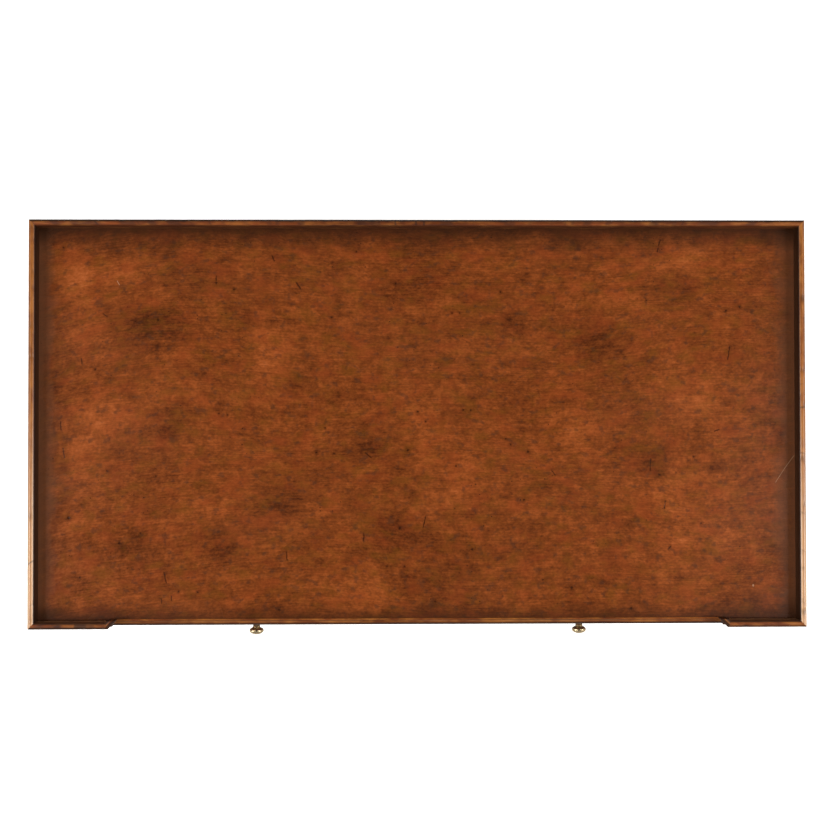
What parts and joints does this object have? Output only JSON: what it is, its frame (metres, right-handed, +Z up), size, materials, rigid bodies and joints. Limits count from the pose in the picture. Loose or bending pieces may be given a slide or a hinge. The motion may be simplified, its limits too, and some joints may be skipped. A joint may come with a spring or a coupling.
{
  "type": "writing table",
  "caption": "Tray-top writing table with a raised gallery, breakfront corners, tapered legs and lipped drawers with turned knobs.",
  "frame": {"origin": "on the floor under the middle of the table's whole plan, knobs included", "axes": "+X along the table to the right as seen from the front, +Y towards the back, +Z up"},
  "size_m": [1.45, 0.7876, 0.782],
  "materials": {
    "stained_cherry": "satin, distressed and antiqued",
    "frame_wood": "plain sanded secondary wood",
    "drawer_wood": "thin clear lacquer",
    "aged_brass": "antiqued, worn bright on the rims",
    "steel_fixings": "zinc plated",
    "dark_nylon": "moulded"
  },
  "bodies": {
    "table_frame": {"apron_back": "stained_cherry", "apron_left": "stained_cherry", "apron_right": "stained_cherry", "brace_bolts": "steel_fixings", "centre_rail": "frame_wood", "centre_stile": "stained_cherry", "corner_brace_left": "frame_wood", "corner_brace_right": "frame_wood", "corner_panel_left": "stained_cherry", "corner_panel_right": "stained_cherry", "floor_glides": "dark_nylon", "front_bottom_rail": "stained_cherry", "front_lip": "stained_cherry", "front_top_rail": "stained_cherry", "gallery_back": "stained_cherry", "gallery_cant_left": "stained_cherry", "gallery_cant_right": "stained_cherry", "gallery_front_left": "stained_cherry", "gallery_front_right": "stained_cherry", "gallery_left": "stained_cherry", "gallery_right": "stained_cherry", "kicker_left_inner": "frame_wood", "kicker_left_outer": "frame_wood", "kicker_right_inner": "frame_wood", "kicker_right_outer": "frame_wood", "leg_back_left": "stained_cherry", "leg_back_right": "stained_cherry", "leg_front_left": "stained_cherry", "leg_front_right": "stained_cherry", "runner_left_inner": "frame_wood", "runner_left_outer": "frame_wood", "runner_right_inner": "frame_wood", "runner_right_outer": "frame_wood", "top_buttons": "frame_wood", "top_panel": "stained_cherry"},
    "drawer_left": {"drawer_left_back": "drawer_wood", "drawer_left_bottom": "drawer_wood", "drawer_left_front": "stained_cherry", "drawer_left_knob": "aged_brass", "drawer_left_knob_screw": "steel_fixings", "drawer_left_side_inner": "drawer_wood", "drawer_left_side_outer": "drawer_wood", "drawer_left_stop": "drawer_wood"},
    "drawer_right": {"drawer_right_back": "drawer_wood", "drawer_right_bottom": "drawer_wood", "drawer_right_front": "stained_cherry", "drawer_right_knob": "aged_brass", "drawer_right_knob_screw": "steel_fixings", "drawer_right_side_inner": "drawer_wood", "drawer_right_side_outer": "drawer_wood", "drawer_right_stop": "drawer_wood"}
  },
  "joints": [
    {"name": "drawer_left_slide", "type": "slide", "parent": "table_frame", "child": "drawer_left", "axis": [0, -1, 0], "range_m": [0, 0.431]},
    {"name": "drawer_right_slide", "type": "slide", "parent": "table_frame", "child": "drawer_right", "axis": [0, -1, 0], "range_m": [0, 0.431]}
  ]
}
